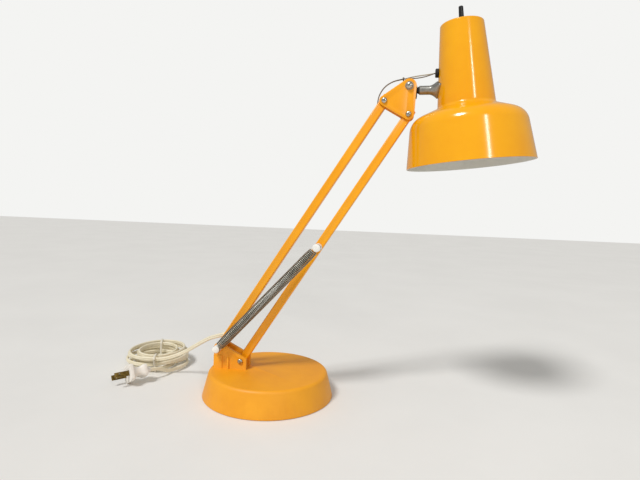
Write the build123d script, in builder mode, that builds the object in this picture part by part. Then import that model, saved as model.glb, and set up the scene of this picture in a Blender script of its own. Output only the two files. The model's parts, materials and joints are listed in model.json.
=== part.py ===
import math
import os

from build123d import *

# Desk lamp: weighted round base, two parallel arms with a balance spring, spun two-step shade.
# Millimetres, +Z up, origin at the middle of the underside. The arms lean towards +X,
# and the spring hangs on the -Y side.

# Clearances used all over
overrun = 1.0
run_gap = 0.1
fit_gap = 0.05
seat_gap = 0.1
curve_gap = 0.35

# Base shell, weight and pad
base_radius = 80.0
base_top_radius = 72.4
base_height = 30.3
base_wall = 3.0
base_edge_radius = 4.5
foot_gap = 0.6
pad_thickness = 2.2
pad_side_gap = 2.0
weight_side_gap = 1.4
weight_height = 20.0
weight_chamfer = 2.0
weight_screw_count = 3
weight_screw_circle = 44.0
weight_screw_radius = 2.2
weight_screw_head_radius = 4.0
weight_screw_head_height = 2.6
weight_screw_bite = 4.0
boss_radius = 5.5

# Pivots of the parallel linkage
front_pivot_x = -33.5
front_pivot_height = 40.6
pivot_spread = 31.9
pivot_spread_angle = 151.7
arm_length = 356.6
arm_angle = 57.8
tilt_pivot_back = 0.6
tilt_pivot_rise = 31.6

# Arms, square tube
arm_width = 10.0
arm_wall = 1.0
arm_corner_radius = 1.6
arm_end = 6.4

# Flanged bushes in the arm ends, on pivots of one diameter
pin_radius = 2.5
bush_wall = 1.0
bush_flange = 0.8
bush_flange_radius = 4.7
bush_middle_gap = 0.6

# Bracket cheeks moulded on the base
cheek_thickness = 4.4
cheek_front_margin = 7.5
cheek_rear_margin = 5.8
cheek_front_height = 44.2
cheek_top_slope = 26.5
cheek_rear_radius = 5.5
rib_width = 2.2
rib_depth = 1.8
rib_height = 16.0
rib_place = 18.4
panel_width = 10.8
panel_depth = 1.0
panel_height = 17.5

# Screws and nuts on the pivots
screw_head_radius = 3.2
screw_head_height = 2.6
screw_head_round = 1.4
nut_radius = 4.6
nut_height = 4.0
screw_tip = 0.8

# Head plates and the tilt bolt
plate_thickness = 1.5
plate_rear_radius = 5.8
plate_front_radius = 6.3
plate_tilt_radius = 8.2
tilt_washer_radius = 4.7
tilt_washer_thickness = 0.9
tilt_head_radius = 3.8
tilt_head_height = 3.2
tilt_head_round = 1.8

# Balance spring, its spools and the pins that carry them
spring_wire = 1.5
spring_diameter = 11.6
spring_end_diameter = 10.4
spring_turns = 79.5
spring_taper_turns = 4.0
spring_place = 171.5
spring_side_gap = 0.6
spring_lead_in = 6.0
eye_radius = 4.1
eye_start = 90.0
eye_step = 120.0
eye_steps = 3
spool_core_radius = 3.1
spool_groove = 3.2
lower_spool_radius = 4.3
upper_spool_radius = 4.7
spool_face = 2.9
spool_round = 0.8
spool_crown = 1.0
stud_head = 1.0
stud_head_radius = 3.6

# Tilt block, swivel stud, washer and knuckle
stem_rise = 1.16
stem_drop = 3.9
stem_reach = 32.3
block_radius = 7.0
block_length = 8.7
block_low = 12.4
block_high = -0.8
block_corner_radius = 1.6
swivel_radius = 3.0
swivel_length = 11.0
swivel_gap = 0.15
swivel_neck = 0.8
swivel_neck_radius = 3.3
swivel_washer_radius = 4.0
swivel_washer_thickness = 1.5
knuckle_radius = 5.0
knuckle_straight = 11.2
knuckle_waist_place = 6.2
knuckle_waist_high = 6.2
knuckle_waist_across = 6.8
knuckle_pad_depth = 3.6
knuckle_pad_high = 10.6
knuckle_pad_across = 13.0
knuckle_screw_radius = 2.0
knuckle_screw_bite = 6.0
knuckle_screw_head_radius = 4.0
knuckle_screw_head_height = 2.4

# Shade, turned about its own axis; heights are above the rim
shade_rim_radius = 70.8
shade_side_height = 51.0
shade_shoulder_corner_radius = 63.4
shade_neck_foot_radius = 31.65
shade_neck_foot_height = 67.5
shade_neck_top_radius = 23.7
shade_height = 156.7
shade_wall = 0.8
shade_shoulder_round = 15.9
shade_foot_round = 8.0
shade_top_round = 1.6
stem_place = 87.0
grommet_place = 105.7

# Grommet in the neck
grommet_radius = 5.0
grommet_neck_radius = 3.2
grommet_outer = 3.4
grommet_inner = 1.8
grommet_round = 0.7

# Lampholder, screw shell, switch
holder_radius = 19.0
holder_length = 52.0
holder_shoulder = 12.0
holder_shoulder_radius = 13.0
holder_cap_gap = 0.1
shell_bore_radius = 13.3
shell_wall = 0.7
shell_length = 26.0
contact_radius = 4.0
contact_thickness = 1.2
contact_stand = 5.0
nipple_radius = 5.0
nipple_bore_radius = 2.9
nipple_bite = 8.0
ring_nut_radius = 7.0
ring_nut_height = 2.4
knob_radius = 2.9
knob_top_radius = 2.5
knob_height = 16.9
knob_round = 0.9
shaft_radius = 2.6
shaft_length = 14.0

# Leads
lead_radius = 1.2
lead_hole_radius = 1.8
cord_radius = 2.5
arc_share = 0.45
cord_entry_place = 18.8
cord_entry_drop = 16.0
cord_bush_wall = 0.7
cord_bush_proud = 0.4
lead_exit_back = 9.4
lead_exit_angle = 32.0
lead_exit_run = 5.0
tie_width = 1.8
tie_wall = 0.8
lead_run = 12.0
tail_run = 12.0
gap_samples = 12
spring_gap_samples = 4

# Coil of the cord, its ties and the plug
coil_x = -178.0
coil_y = 67.0
coil_outer_radius = 43.5
coil_step = 9.5
coil_layer_turns = 1.3403
coil_layers = 4
coil_layer_height = 5.6
coil_start_angle = -80.0
coil_tie_radius = 0.7
coil_tie_gap = 0.5
coil_tie_angles = (-98.0, 112.0)
coil_tie_corner = 4.0
coil_nudge = 0.001
coil_turn_steps = 4
plug_tail_x = -160.3
plug_tail_y = 5.2
plug_heading = 230.0
plug_roll = 30.0
plug_flange_height = 21.0
plug_flange_width = 24.0
plug_flange_depth = 4.6
plug_waist_height = 11.0
plug_waist_width = 17.0
plug_waist_length = 14.0
plug_heel_height = 15.0
plug_heel_width = 19.0
plug_heel_depth = 4.2
plug_tail_length = 6.0
plug_tail_radius = 3.4
plug_corner_radius = 3.6
blade_length = 17.6
blade_width = 6.4
blade_thickness = 1.5
blade_spread = 12.7
blade_root = 3.0
blade_hole_radius = 1.5
blade_hole_place = 11.7

# Worked out from the sizes above
arm_half = arm_width / 2
inner_face = arm_half + bush_flange + 2 * run_gap
cheek_face = inner_face + cheek_thickness
plate_face = inner_face + plate_thickness
spring_y = cheek_face + spring_side_gap + spring_diameter / 2
spool_back = spring_y - spool_groove / 2 - cheek_face - run_gap
spool_length = spool_back + spool_groove + spool_face
shell_top_inside = base_height - base_wall
weight_top = pad_thickness + weight_height
weight_radius = min(base_radius, base_top_radius) - base_wall - weight_side_gap
pad_radius = base_radius - base_wall - pad_side_gap


def along(angle):
    return Vector(math.cos(math.radians(angle)), 0, math.sin(math.radians(angle)))


def side_plane(point, angle=0, y=0):
    # Sketch plane in the lamp's own plane, with its normal towards -Y.
    return Plane(origin=point + Vector(0, y, 0), x_dir=along(angle), z_dir=(0, -1, 0))


def save(piece, name):
    piece.label = name
    export_step(piece, f"parts/{name}.step")


front_low = Vector(front_pivot_x, 0, front_pivot_height)
rear_low = front_low + along(pivot_spread_angle) * pivot_spread
front_top = front_low + along(arm_angle) * arm_length
rear_top = rear_low + along(arm_angle) * arm_length
tilt_pivot = front_top + Vector(-tilt_pivot_back, 0, tilt_pivot_rise)
spring_top = front_low + along(arm_angle) * spring_place

# The neck's left side is square to the stem, so its taper and the stem's rise give the shade's tilt.
neck_fall = shade_neck_foot_radius - shade_neck_top_radius
neck_rise = shade_height - shade_neck_foot_height
neck_taper = math.degrees(math.atan2(neck_fall, neck_rise))
shade_tilt = stem_rise + neck_taper
shade_axis = along(shade_tilt + 90)
shade_across = along(shade_tilt)


def neck_radius(height):
    return shade_neck_foot_radius - neck_fall * (height - shade_neck_foot_height) / neck_rise


head_plane = side_plane(tilt_pivot, stem_rise)
stem_seat = head_plane.from_local_coords(Vector(stem_reach, -stem_drop, 0))
shade_origin = stem_seat - shade_axis * stem_place + shade_across * neck_radius(stem_place)
shade_plane = side_plane(shade_origin, shade_tilt)
shade_line = Axis(shade_origin, shade_axis)


def stem_plane(distance):
    # Plane square to the stem, at a distance from the tilt bolt along it.
    origin = head_plane.from_local_coords(Vector(distance, -stem_drop, 0))
    return Plane(origin=origin, x_dir=(0, 1, 0), z_dir=along(stem_rise))


def neck_side_plane(height):
    # Plane that lies on the left of the neck, with its normal pointing into the neck.
    origin = shade_origin + shade_axis * height - shade_across * neck_radius(height)
    return Plane(origin=origin, x_dir=(0, 1, 0), z_dir=along(stem_rise))


def shade_level(height):
    return Plane(origin=shade_origin + shade_axis * height, x_dir=shade_across, z_dir=shade_axis)


os.makedirs("parts", exist_ok=True)

# Base shell: a hollow cone with the two bracket cheeks, their ribs and the screw bosses
cheek_left = rear_low.X - cheek_rear_margin
cheek_right = front_low.X + cheek_front_margin
cheek_length = cheek_right - cheek_left
cheek_rear_height = cheek_front_height + cheek_length * math.tan(math.radians(cheek_top_slope))
cheek_root = base_height - base_wall / 2

with BuildPart() as base_shell:
    with BuildSketch(Plane.XZ):
        with BuildLine():
            Polyline(
                (0, foot_gap),
                (base_radius, foot_gap),
                (base_top_radius, base_height),
                (0, base_height),
                close=True,
            )
        make_face()
    revolve(axis=Axis.Z)
    fillet(base_shell.edges().group_by(Axis.Z)[-1], base_edge_radius)
    with BuildSketch(Plane.XZ):
        with BuildLine():
            Polyline(
                (0, foot_gap),
                (base_radius - base_wall, foot_gap),
                (base_top_radius - base_wall, shell_top_inside),
                (0, shell_top_inside),
                close=True,
            )
        make_face()
    revolve(axis=Axis.Z, mode=Mode.SUBTRACT)
    with BuildSketch(side_plane(Vector(0, 0, 0), y=cheek_face)):
        with BuildLine():
            Polyline(
                (cheek_left, cheek_root),
                (cheek_right, cheek_root),
                (cheek_right, cheek_front_height),
                (cheek_left, cheek_rear_height),
                close=True,
            )
        outline = make_face()
        fillet(outline.vertices().group_by(Axis.Y)[-1], cheek_rear_radius)
    cheeks = extrude(amount=2 * cheek_face)
    for side in (1, -1):
        with BuildSketch(side_plane(Vector(0, 0, 0), y=side * cheek_face)):
            with Locations((cheek_left + rib_place, cheek_root)):
                Rectangle(rib_width, rib_height, align=(Align.CENTER, Align.MIN))
        extrude(amount=-side * rib_depth)
        with BuildSketch(side_plane(Vector(0, 0, 0), y=side * cheek_face)):
            with Locations((cheek_left, cheek_root)):
                Rectangle(panel_width, panel_height, align=(Align.MIN, Align.MIN))
        extrude(amount=-side * panel_depth)
    with BuildSketch(side_plane(Vector(0, 0, 0), y=inner_face)):
        with Locations((cheek_left - overrun, base_height)):
            Rectangle(cheek_length + 2 * overrun, cheek_rear_height, align=(Align.MIN, Align.MIN))
    extrude(amount=2 * inner_face, mode=Mode.SUBTRACT)
    with BuildSketch(side_plane(Vector(0, 0, 0), y=cheek_face + rib_depth + overrun)):
        with Locations((front_low.X, front_low.Z), (rear_low.X, rear_low.Z)):
            Circle(pin_radius + run_gap)
    extrude(amount=2 * (cheek_face + rib_depth + overrun), mode=Mode.SUBTRACT)
    with BuildSketch(Plane.XY.offset(weight_top)):
        with PolarLocations(weight_screw_circle, weight_screw_count):
            Circle(boss_radius)
    extrude(amount=shell_top_inside - weight_top)
    with BuildSketch(Plane.XY.offset(weight_top)):
        with PolarLocations(weight_screw_circle, weight_screw_count):
            Circle(weight_screw_radius + fit_gap)
    extrude(amount=weight_screw_bite + fit_gap, mode=Mode.SUBTRACT)
save(base_shell.part, "base_shell")

with BuildPart() as base_weight:
    with BuildSketch(Plane.XY.offset(pad_thickness)):
        Circle(weight_radius)
    extrude(amount=weight_height)
    chamfer(base_weight.edges().group_by(Axis.Z)[-1], weight_chamfer)
    with BuildSketch(Plane.XY.offset(pad_thickness)):
        with PolarLocations(weight_screw_circle, weight_screw_count):
            Circle(weight_screw_radius + fit_gap)
    extrude(amount=weight_height, mode=Mode.SUBTRACT)
    with BuildSketch(Plane.XY.offset(pad_thickness)):
        with PolarLocations(weight_screw_circle, weight_screw_count):
            Circle(weight_screw_head_radius + run_gap)
    extrude(amount=weight_screw_head_height, mode=Mode.SUBTRACT)
save(base_weight.part, "base_weight")

with BuildPart() as base_screws:
    with BuildSketch(Plane.XY.offset(pad_thickness)):
        with PolarLocations(weight_screw_circle, weight_screw_count):
            Circle(weight_screw_head_radius)
    extrude(amount=weight_screw_head_height)
    with BuildSketch(Plane.XY.offset(pad_thickness)):
        with PolarLocations(weight_screw_circle, weight_screw_count):
            Circle(weight_screw_radius)
    extrude(amount=weight_height + weight_screw_bite)
save(base_screws.part, "base_screws")

with BuildPart() as base_pad:
    with BuildSketch(Plane.XY):
        Circle(pad_radius)
    extrude(amount=pad_thickness)
save(base_pad.part, "base_pad")


def pan_head_screw(pivot, face, length, head_radius, head_height, head_round):
    # Screw with its head on the near side, at a distance in front of the lamp's plane.
    with BuildPart() as screw:
        with BuildSketch(side_plane(pivot, y=-face)):
            Circle(head_radius)
        extrude(amount=head_height)
        fillet(screw.edges().group_by(Axis.Y)[0], head_round)
        with BuildSketch(side_plane(pivot, y=-face)):
            Circle(pin_radius)
        extrude(amount=-length)
    return screw.part


def hex_nut(pivot, face):
    # Nut on the far side, with its bore round the screw's tip.
    with BuildPart() as nut:
        with BuildSketch(side_plane(pivot, y=face)):
            RegularPolygon(nut_radius, side_count=6)
            Circle(pin_radius + fit_gap, mode=Mode.SUBTRACT)
        extrude(amount=-nut_height)
    return nut.part


cheek_grip = 2 * cheek_face + nut_height + screw_tip
plate_grip = 2 * plate_face + nut_height + screw_tip
front_pivot_screw = pan_head_screw(
    front_low, cheek_face, cheek_grip, screw_head_radius, screw_head_height, screw_head_round
)
save(front_pivot_screw, "front_pivot_screw")
save(hex_nut(front_low, cheek_face), "front_pivot_nut")

# Rear pin: runs out on the near side to carry the spring's lower spool
pin_front = cheek_face + run_gap + spool_length - spool_crown - run_gap
with BuildPart() as rear_pivot_pin:
    with BuildSketch(side_plane(rear_low, y=cheek_face + nut_height + screw_tip)):
        Circle(pin_radius)
    extrude(amount=cheek_face + nut_height + screw_tip + pin_front)
save(rear_pivot_pin.part, "rear_pivot_pin")
save(hex_nut(rear_low, cheek_face), "rear_pivot_nut")


def arm_tube(pivot):
    # Square tube from just below one pivot to just past the other, with its bush holes.
    start = pivot - along(arm_angle) * arm_end
    with BuildPart() as tube:
        with BuildSketch(Plane(origin=start, x_dir=(0, 1, 0), z_dir=along(arm_angle))):
            RectangleRounded(arm_width, arm_width, arm_corner_radius)
            inside = arm_width - 2 * arm_wall
            RectangleRounded(inside, inside, arm_corner_radius - arm_wall, mode=Mode.SUBTRACT)
        extrude(amount=arm_length + 2 * arm_end)
        with BuildSketch(side_plane(pivot, arm_angle, y=arm_half + overrun)):
            with Locations((0, 0), (arm_length, 0)):
                Circle(pin_radius + run_gap + bush_wall + fit_gap)
        extrude(amount=arm_width + 2 * overrun, mode=Mode.SUBTRACT)
    return tube.part


def arm_bushes(pivot):
    # Four flanged bushes, two from each side at each end of an arm.
    sleeve = arm_half - bush_middle_gap / 2
    places = ((0, 0), (arm_length, 0))
    with BuildPart() as bushes:
        with BuildSketch(side_plane(pivot, arm_angle, y=-arm_half)):
            with Locations(*places):
                Circle(bush_flange_radius)
        extrude(amount=bush_flange)
        with BuildSketch(side_plane(pivot, arm_angle, y=-arm_half)):
            with Locations(*places):
                Circle(pin_radius + run_gap + bush_wall)
        extrude(amount=-sleeve)
        with BuildSketch(side_plane(pivot, arm_angle, y=-arm_half - bush_flange)):
            with Locations(*places):
                Circle(pin_radius + run_gap)
        extrude(amount=-sleeve - bush_flange, mode=Mode.SUBTRACT)
        mirror(about=Plane.XZ)
    return bushes.part


# Front arm, with the hole for the spring's upper stud
with BuildPart() as front_arm:
    add(arm_tube(front_low))
    with BuildSketch(side_plane(spring_top)):
        Circle(pin_radius + fit_gap)
    extrude(amount=arm_half + overrun, mode=Mode.SUBTRACT)
save(front_arm.part, "front_arm")
save(arm_bushes(front_low), "front_arm_bushes")

# Rear arm, with a slanted slot for the cord near the foot and one for the thin lead near the top
cord_heading = Vector(
    -math.cos(math.radians(cord_entry_drop)), 0, -math.sin(math.radians(cord_entry_drop))
)
cord_inside = rear_low + along(arm_angle) * cord_entry_place
arm_back = along(arm_angle + 90)
cord_skin = cord_inside + cord_heading * (arm_half / cord_heading.dot(arm_back))
lead_heading = along(arm_angle + lead_exit_angle)
lead_inside = rear_top - along(arm_angle) * (lead_exit_back + arm_half)
lead_skin = lead_inside + lead_heading * (arm_half / lead_heading.dot(arm_back))
bush_outer_radius = cord_radius + fit_gap + cord_bush_wall
bush_end = cord_skin + cord_heading * cord_bush_proud

with BuildPart() as rear_arm:
    add(arm_tube(rear_low))
    with BuildSketch(Plane(origin=cord_inside, z_dir=cord_heading)):
        Circle(bush_outer_radius + fit_gap)
    extrude(amount=(bush_end - cord_inside).length + 2 * bush_outer_radius, mode=Mode.SUBTRACT)
    with BuildSketch(Plane(origin=lead_inside, z_dir=lead_heading)):
        Circle(lead_hole_radius)
    extrude(amount=(lead_skin - lead_inside).length + 2 * lead_hole_radius, mode=Mode.SUBTRACT)
save(rear_arm.part, "rear_arm")
save(arm_bushes(rear_low), "rear_arm_bushes")

with BuildPart() as cord_bush:
    with BuildSketch(Plane(origin=cord_inside, z_dir=cord_heading)):
        Circle(bush_outer_radius)
        Circle(cord_radius + fit_gap, mode=Mode.SUBTRACT)
    extrude(amount=(bush_end - cord_inside).length)
save(cord_bush.part, "cord_bush")

# Spring spools: a nylon core with a groove for the spring's eye and a crowned outer face


def spool(centre, back_length, radius, bore_depth):
    back = spring_y - spool_groove / 2 - back_length
    with BuildPart() as piece:
        with BuildSketch(side_plane(centre, y=-back)):
            Circle(radius)
        extrude(amount=back_length)
        with BuildSketch(side_plane(centre, y=-back)):
            Circle(spool_core_radius)
        extrude(amount=back_length + spool_groove)
        with BuildSketch(side_plane(centre, y=-back - back_length - spool_groove)):
            Circle(radius)
        extrude(amount=spool_face)
        fillet(piece.edges().group_by(Axis.Y)[0], spool_round)
        with BuildSketch(side_plane(centre, y=-back)):
            Circle(pin_radius + run_gap)
        extrude(amount=bore_depth, mode=Mode.SUBTRACT)
    return piece.part


save(
    spool(rear_low, spool_back, lower_spool_radius, spool_length - spool_crown),
    "spring_lower_spool",
)
stud_reach = spring_y + spool_groove / 2 + spool_face - spool_crown - run_gap
upper_back = spring_y - spool_groove / 2 - arm_half - fit_gap
save(
    spool(spring_top, upper_back, upper_spool_radius, upper_back + spool_groove + spool_face - spool_crown),
    "spring_upper_spool",
)
with BuildPart() as spring_stud:
    with BuildSketch(side_plane(spring_top, y=-arm_half + arm_wall + stud_head)):
        Circle(stud_head_radius)
    extrude(amount=stud_head)
    with BuildSketch(side_plane(spring_top, y=-arm_half + arm_wall)):
        Circle(pin_radius)
    extrude(amount=stud_reach - arm_half + arm_wall)
save(spring_stud.part, "spring_stud")


def biarcs(points, headings):
    # Two arcs from each point to the next, tangent to the headings and to each other.
    arcs = []
    for start, end, out, into in zip(points, points[1:], headings, headings[1:]):
        chord = end - start
        lean = chord.dot(out + into)
        spread = 2 * (1 - out.dot(into))
        reach = (math.sqrt(lean * lean + spread * chord.dot(chord)) - lean) / spread
        knot = (start + end + (out - into) * reach) / 2
        middle = (end - into * reach) - (start + out * reach)
        arcs.append(TangentArc(start, knot, tangent=out))
        arcs.append(TangentArc(knot, end, tangent=middle.normalized()))
    return arcs


def least_gap(arcs, diameter, samples):
    # Least room between the tube and itself, apart from its next three diameters.
    points = []
    places = []
    travelled = 0.0
    for arc in arcs:
        for step in range(samples):
            points.append(tuple(arc @ (step / samples)))
            places.append(travelled + arc.length * step / samples)
        travelled += arc.length
    nearest = travelled
    for index, point in enumerate(points):
        for other in range(index + 1, len(points)):
            if places[other] - places[index] > 3 * diameter:
                nearest = min(nearest, math.dist(point, points[other]))
    return nearest - diameter


# Balance spring: an eye round each spool and close turns between, narrowed towards both ends
spring_axis = spring_top - rear_low
spring_length = spring_axis.length
spring_angle = math.degrees(math.atan2(spring_axis.Z, spring_axis.X))
spring_plane = side_plane(rear_low, spring_angle, y=-spring_y)
turn_radius = (spring_diameter - spring_wire) / 2
end_turn_radius = (spring_end_diameter - spring_wire) / 2
turn_pitch = (spring_length - 2 * spring_lead_in) / spring_turns


def spring_point(half_turn):
    # Place and heading on the winding, in the spring's own plane.
    turns = half_turn / 2
    taper = min(turns, spring_turns - turns) / spring_taper_turns
    growth = 0
    if taper < 1:
        growth = (turn_radius - end_turn_radius) / spring_taper_turns / (2 * math.pi)
        if turns > spring_taper_turns:
            growth = -growth
    radius = end_turn_radius + (turn_radius - end_turn_radius) * min(taper, 1)
    angle = math.pi * half_turn
    place = Vector(
        spring_lead_in + turn_pitch * turns, radius * math.cos(angle), radius * math.sin(angle)
    )
    heading = Vector(
        turn_pitch / (2 * math.pi),
        growth * math.cos(angle) - radius * math.sin(angle),
        growth * math.sin(angle) + radius * math.cos(angle),
    )
    return place, heading.normalized()


spring_points = []
spring_headings = []
for step in range(eye_steps):
    angle = math.radians(eye_start + eye_step * step)
    spring_points.append(Vector(eye_radius * math.cos(angle), eye_radius * math.sin(angle), 0))
    spring_headings.append(Vector(-math.sin(angle), math.cos(angle), 0))
eye_points = list(spring_points)
eye_headings = list(spring_headings)
for half_turn in range(int(2 * spring_turns) + 1):
    place, heading = spring_point(half_turn)
    spring_points.append(place)
    spring_headings.append(heading)
for place, heading in zip(reversed(eye_points), reversed(eye_headings)):
    spring_points.append(Vector(spring_length - place.X, -place.Y, place.Z))
    spring_headings.append(Vector(heading.X, heading.Y, -heading.Z))

with BuildPart() as counter_spring:
    with BuildLine() as spring_line:
        spring_arcs = biarcs(
            [spring_plane.from_local_coords(place) for place in spring_points],
            [spring_plane.from_local_coords(heading) - spring_plane.origin for heading in spring_headings],
        )
    with BuildSketch(Plane(origin=spring_arcs[0] @ 0, z_dir=spring_arcs[0] % 0)):
        Circle(spring_wire / 2)
    sweep(path=spring_line.line)
save(counter_spring.part, "counter_spring")
print("spring: least gap", round(least_gap(spring_arcs, spring_wire, spring_gap_samples), 2))


# Head plates: two triangles that hold both arms and the tilt block
def head_plate(inner):
    with BuildPart() as plate:
        with BuildSketch(side_plane(Vector(0, 0, 0), y=inner)):
            with Locations((front_top.X, front_top.Z)):
                Circle(plate_front_radius)
            with Locations((rear_top.X, rear_top.Z)):
                Circle(plate_rear_radius)
            with Locations((tilt_pivot.X, tilt_pivot.Z)):
                Circle(plate_tilt_radius)
            make_hull()
            with Locations(
                (front_top.X, front_top.Z), (rear_top.X, rear_top.Z), (tilt_pivot.X, tilt_pivot.Z)
            ):
                Circle(pin_radius + fit_gap, mode=Mode.SUBTRACT)
        extrude(amount=plate_thickness)
    return plate.part


save(head_plate(-inner_face), "near_head_plate")
save(head_plate(plate_face), "far_head_plate")

with BuildPart() as head_screws:
    for pivot in (front_top, rear_top):
        add(
            pan_head_screw(
                pivot, plate_face, plate_grip, screw_head_radius, screw_head_height, screw_head_round
            )
        )
save(head_screws.part, "head_screws")
with BuildPart() as head_nuts:
    for pivot in (front_top, rear_top):
        add(hex_nut(pivot, plate_face))
save(head_nuts.part, "head_nuts")

with BuildPart() as tilt_washers:
    with BuildSketch(side_plane(tilt_pivot, y=-plate_face)):
        Circle(tilt_washer_radius)
        Circle(pin_radius + fit_gap, mode=Mode.SUBTRACT)
    extrude(amount=tilt_washer_thickness)
    mirror(about=Plane.XZ)
save(tilt_washers.part, "tilt_washers")
tilt_face = plate_face + tilt_washer_thickness
tilt_bolt = pan_head_screw(
    tilt_pivot,
    tilt_face,
    2 * tilt_face + nut_height + screw_tip,
    tilt_head_radius,
    tilt_head_height,
    tilt_head_round,
)
save(tilt_bolt, "tilt_bolt")
save(hex_nut(tilt_pivot, tilt_face), "tilt_nut")

# Tilt block: a lug on the tilt bolt with the swivel stud on its front
block_half = inner_face - run_gap
with BuildPart() as tilt_block:
    with BuildSketch(head_plane.offset(-block_half)):
        Circle(block_radius)
        with Locations((block_length, -stem_drop)):
            Rectangle(
                block_corner_radius, 2 * swivel_neck_radius, align=(Align.MAX, Align.CENTER)
            )
        with Locations((block_length, -block_low)):
            Rectangle(block_corner_radius, block_low + block_high, align=(Align.MAX, Align.MIN))
        make_hull()
        Circle(pin_radius + run_gap, mode=Mode.SUBTRACT)
    extrude(amount=2 * block_half)
    with BuildSketch(stem_plane(block_length)):
        Circle(swivel_neck_radius)
    extrude(amount=swivel_neck)
    with BuildSketch(stem_plane(block_length + swivel_neck)):
        Circle(swivel_radius)
    extrude(amount=swivel_washer_thickness + 2 * run_gap + swivel_length)
save(tilt_block.part, "tilt_block")

washer_place = block_length + swivel_neck + run_gap
with BuildPart() as swivel_washer:
    with BuildSketch(stem_plane(washer_place)):
        Circle(swivel_washer_radius)
        Circle(swivel_radius + run_gap, mode=Mode.SUBTRACT)
    extrude(amount=swivel_washer_thickness)
save(swivel_washer.part, "swivel_washer")

# Solid of the neck's outside, used to hollow the knuckle's saddle
with BuildPart() as neck_form:
    with BuildSketch(shade_plane):
        with BuildLine():
            Polyline(
                (0, shade_neck_foot_height),
                (shade_neck_foot_radius + seat_gap, shade_neck_foot_height),
                (shade_neck_top_radius + seat_gap, shade_height),
                (0, shade_height),
                close=True,
            )
        make_face()
    revolve(axis=shade_line)

# Knuckle: a stem that flares into a saddle on the neck
knuckle_place = washer_place + swivel_washer_thickness + run_gap
flare_start = knuckle_place + knuckle_straight
with BuildPart() as knuckle:
    with BuildSketch(stem_plane(flare_start)):
        Circle(knuckle_radius)
    with BuildSketch(stem_plane(flare_start + knuckle_waist_place)):
        Ellipse(knuckle_waist_across, knuckle_waist_high)
    with BuildSketch(stem_plane(stem_reach + knuckle_pad_depth)):
        Ellipse(knuckle_pad_across, knuckle_pad_high)
    loft()
    with BuildSketch(stem_plane(knuckle_place)):
        Circle(knuckle_radius)
    extrude(amount=knuckle_straight)
    add(neck_form.part, mode=Mode.SUBTRACT)
    with BuildSketch(stem_plane(knuckle_place)):
        Circle(swivel_radius + swivel_gap)
    extrude(amount=swivel_length + run_gap, mode=Mode.SUBTRACT)
    with BuildSketch(stem_plane(stem_reach)):
        Circle(knuckle_screw_radius + fit_gap)
    extrude(amount=-knuckle_screw_bite - fit_gap, mode=Mode.SUBTRACT)
save(knuckle.part, "knuckle")

with BuildPart() as knuckle_screw:
    with BuildSketch(stem_plane(stem_reach + shade_wall + curve_gap)):
        Circle(knuckle_screw_head_radius)
    extrude(amount=knuckle_screw_head_height)
    with BuildSketch(stem_plane(stem_reach - knuckle_screw_bite)):
        Circle(knuckle_screw_radius)
    extrude(amount=knuckle_screw_bite + shade_wall + curve_gap)
save(knuckle_screw.part, "knuckle_screw")

# Shade: one spun sheet, bell below and neck above
with BuildPart() as shade:
    with BuildSketch(shade_plane):
        with BuildLine():
            skin = FilletPolyline(
                (shade_rim_radius, 0),
                (shade_shoulder_corner_radius, shade_side_height),
                (shade_neck_foot_radius, shade_neck_foot_height),
                (shade_neck_top_radius, shade_height),
                (nipple_radius + fit_gap, shade_height),
                radius=(shade_shoulder_round, shade_foot_round, shade_top_round),
            )
            offset(skin, amount=shade_wall, side=Side.LEFT)
        make_face()
    revolve(axis=shade_line)
    with BuildSketch(neck_side_plane(stem_place).offset(-overrun)):
        Circle(knuckle_screw_radius + fit_gap)
    extrude(amount=shade_wall + 2 * overrun + seat_gap, mode=Mode.SUBTRACT)
    with BuildSketch(neck_side_plane(grommet_place).offset(-overrun)):
        Circle(grommet_neck_radius + fit_gap)
    extrude(amount=shade_wall + 2 * overrun + seat_gap, mode=Mode.SUBTRACT)
save(shade.part, "shade")

with BuildPart() as neck_grommet:
    with BuildSketch(neck_side_plane(grommet_place).offset(-seat_gap)):
        Circle(grommet_radius)
    extrude(amount=-grommet_outer)
    fillet(neck_grommet.edges().sort_by(Axis(shade_origin, along(stem_rise)))[0], grommet_round)
    with BuildSketch(neck_side_plane(grommet_place).offset(-seat_gap)):
        Circle(grommet_neck_radius)
    extrude(amount=seat_gap + shade_wall + curve_gap + grommet_inner)
    with BuildSketch(neck_side_plane(grommet_place).offset(shade_wall + curve_gap)):
        Circle(grommet_neck_radius + shade_wall)
    extrude(amount=grommet_inner)
    with BuildSketch(neck_side_plane(grommet_place).offset(-seat_gap - grommet_outer)):
        Circle(lead_radius + fit_gap)
    bore_length = seat_gap + grommet_outer + shade_wall + curve_gap + grommet_inner
    extrude(amount=bore_length, mode=Mode.SUBTRACT)
save(neck_grommet.part, "neck_grommet")

# Lampholder: a cup hung under the top of the neck, open downwards
holder_top = shade_height - shade_wall - holder_cap_gap
holder_mouth = holder_top - holder_length
bore_radius = shell_bore_radius + shell_wall + fit_gap
bore_top = holder_mouth + shell_length + contact_stand
with BuildPart() as lampholder:
    with BuildSketch(shade_plane):
        with BuildLine():
            Polyline(
                (nipple_radius + fit_gap, holder_top),
                (holder_shoulder_radius, holder_top),
                (holder_radius, holder_top - holder_shoulder),
                (holder_radius, holder_mouth),
                (bore_radius, holder_mouth),
                (bore_radius, bore_top),
                (shaft_radius + run_gap, bore_top),
                (shaft_radius + run_gap, holder_top - nipple_bite - fit_gap),
                (nipple_radius + fit_gap, holder_top - nipple_bite - fit_gap),
                close=True,
            )
        make_face()
    revolve(axis=shade_line)
save(lampholder.part, "lampholder")

with BuildPart() as screw_shell:
    with BuildSketch(shade_level(holder_mouth)):
        Circle(shell_bore_radius + shell_wall)
        Circle(shell_bore_radius, mode=Mode.SUBTRACT)
    extrude(amount=shell_length)
save(screw_shell.part, "screw_shell")

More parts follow.
